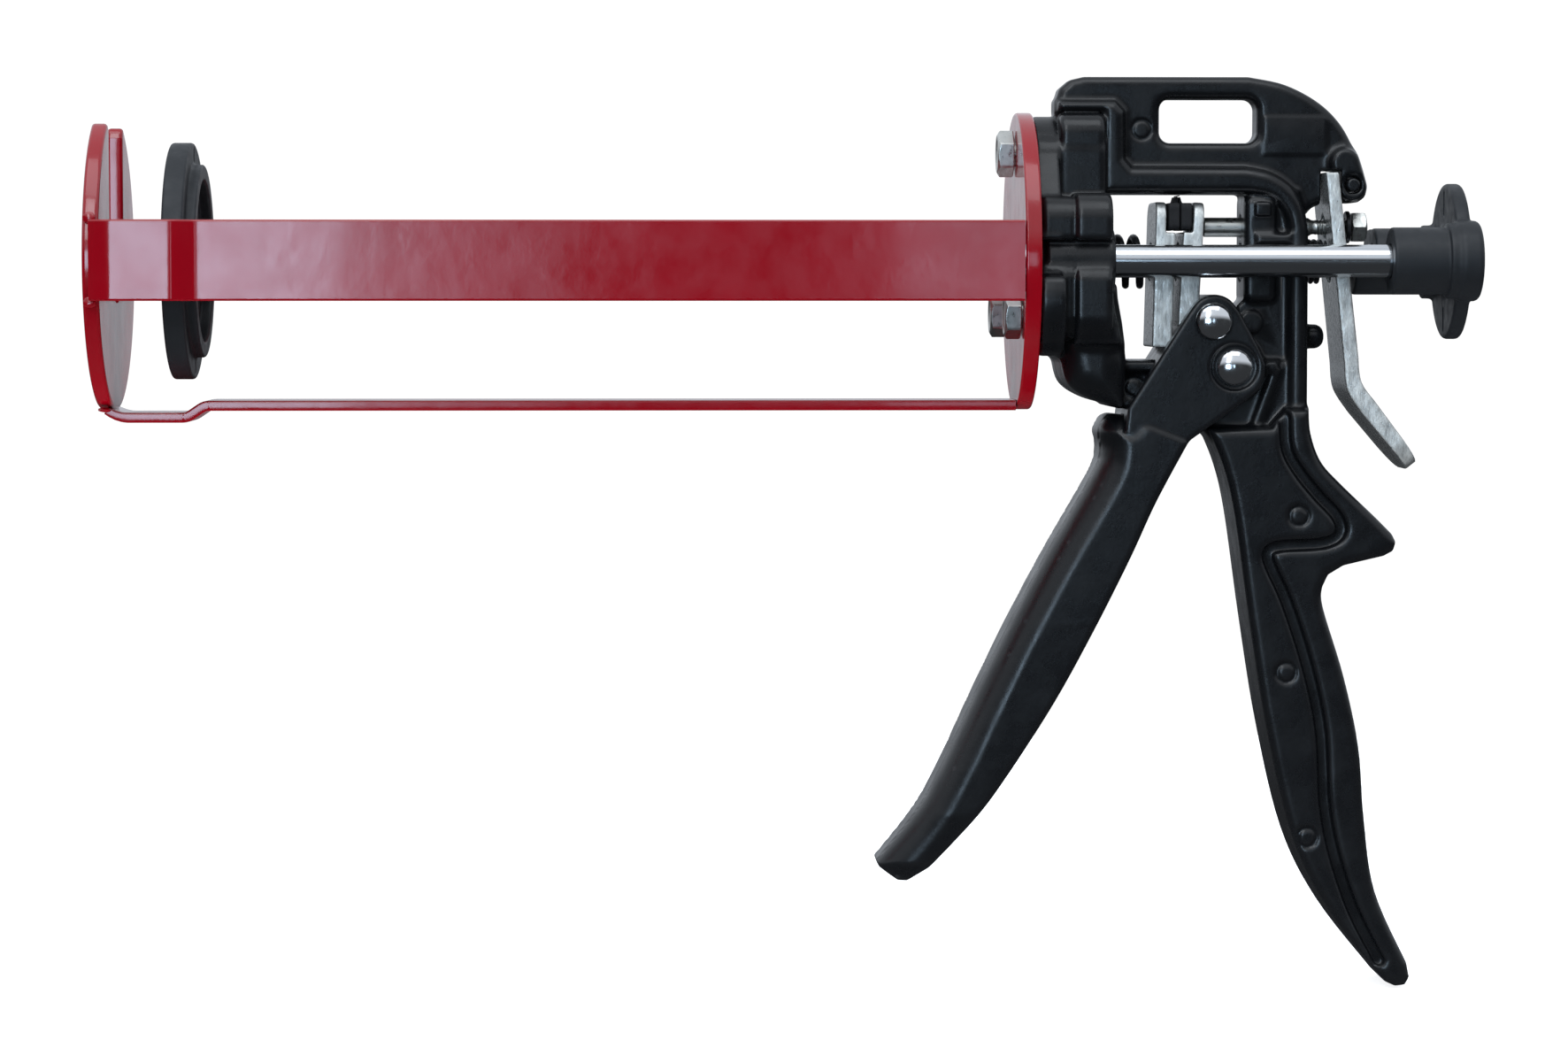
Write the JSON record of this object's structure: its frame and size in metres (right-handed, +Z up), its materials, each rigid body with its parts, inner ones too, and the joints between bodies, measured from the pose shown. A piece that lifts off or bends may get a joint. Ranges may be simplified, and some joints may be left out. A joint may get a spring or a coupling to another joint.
{
  "type": "caulking gun",
  "caption": "Hand-squeezed caulking gun with an open cartridge frame, pull-back push rods, trigger, catch lever and carry handle.",
  "frame": {"origin": "middle of the base, below the tip of the grip, on the plane of the lowest point", "axes": "-X towards the nozzle end, along the push rods; +Z up, grips hanging down; Y across, symmetric about Y=0"},
  "size_m": [0.3348, 0.0784, 0.2232],
  "materials": {
    "black_paint": "satin black over fine cast texture",
    "red_paint": "gloss red",
    "black_plastic": "matte moulded",
    "rubber": "matte",
    "bright_steel": "bright drawn, plated",
    "zinc_plate": "zinc plated, sheared edges",
    "chrome": "polished",
    "spring_steel": "blackened"
  },
  "bodies": {
    "gun": {"body_casting": "black_paint", "rear_plate": "red_paint", "front_plate": "red_paint", "strap_bottom": "red_paint", "strap_near": "red_paint", "strap_far": "red_paint", "bolt_top": "zinc_plate", "bolt_near": "zinc_plate", "bolt_far": "zinc_plate", "lever_pin": "spring_steel", "fulcrum_rivet": "chrome", "drive_spring": "spring_steel", "catch_spring": "spring_steel"},
    "push_rods": {"rod_centre": "bright_steel", "rod_near": "bright_steel", "rod_far": "bright_steel", "piston": "black_plastic", "piston_screw_centre": "zinc_plate", "piston_screw_near": "zinc_plate", "piston_screw_far": "zinc_plate", "rear_yoke": "black_plastic"},
    "trigger": {"trigger": "black_paint", "push_rivet": "chrome"},
    "roller": {"push_roller": "zinc_plate"},
    "drive": {"drive_plate_front": "zinc_plate", "drive_plate_rear": "zinc_plate", "drive_pad_front": "rubber", "drive_pad_rear": "rubber"},
    "catch_lever": {"catch_lever": "zinc_plate"},
    "drip_pin": {"drip_pin": "zinc_plate", "drip_washer": "zinc_plate", "drip_nut": "zinc_plate"}
  },
  "joints": [
    {"name": "trigger_pivot", "type": "hinge", "parent": "gun", "child": "trigger", "pos_m": [0.10855, 0, 0.1525], "axis": [0, -1, 0], "range_deg": [0, 25], "stiffness_Nm_per_rad": 0.35, "springref_deg": -20.05},
    {"name": "roller_spin", "type": "hinge", "parent": "trigger", "child": "roller", "pos_m": [0.10335, 0, 0.1636], "axis": [0, 1, 0], "continuous": true},
    {"name": "drive_slide", "type": "slide", "parent": "gun", "child": "drive", "axis": [-1, 0, 0], "range_m": [0, 0.0049], "deforming": ["drive_spring"]},
    {"name": "rod_slide", "type": "slide", "parent": "gun", "child": "push_rods", "axis": [1, 0, 0], "range_m": [0, 0.19]},
    {"name": "lever_tilt", "type": "hinge", "parent": "gun", "child": "catch_lever", "pos_m": [0.13255, 0, 0.1992], "axis": [0, 1, 0], "range_deg": [0, 4], "stiffness_Nm_per_rad": 0.6, "springref_deg": -11.46, "deforming": ["catch_spring"]},
    {"name": "drip_slide", "type": "slide", "parent": "gun", "child": "drip_pin", "axis": [1, 0, 0], "range_m": [0, 0.001], "stiffness_N_per_m": 300, "springref_m": -0.002}
  ],
  "couplings": [
    {"joint": "drive_slide", "follows": "trigger_pivot", "m_per_rad": 0.0111}
  ]
}
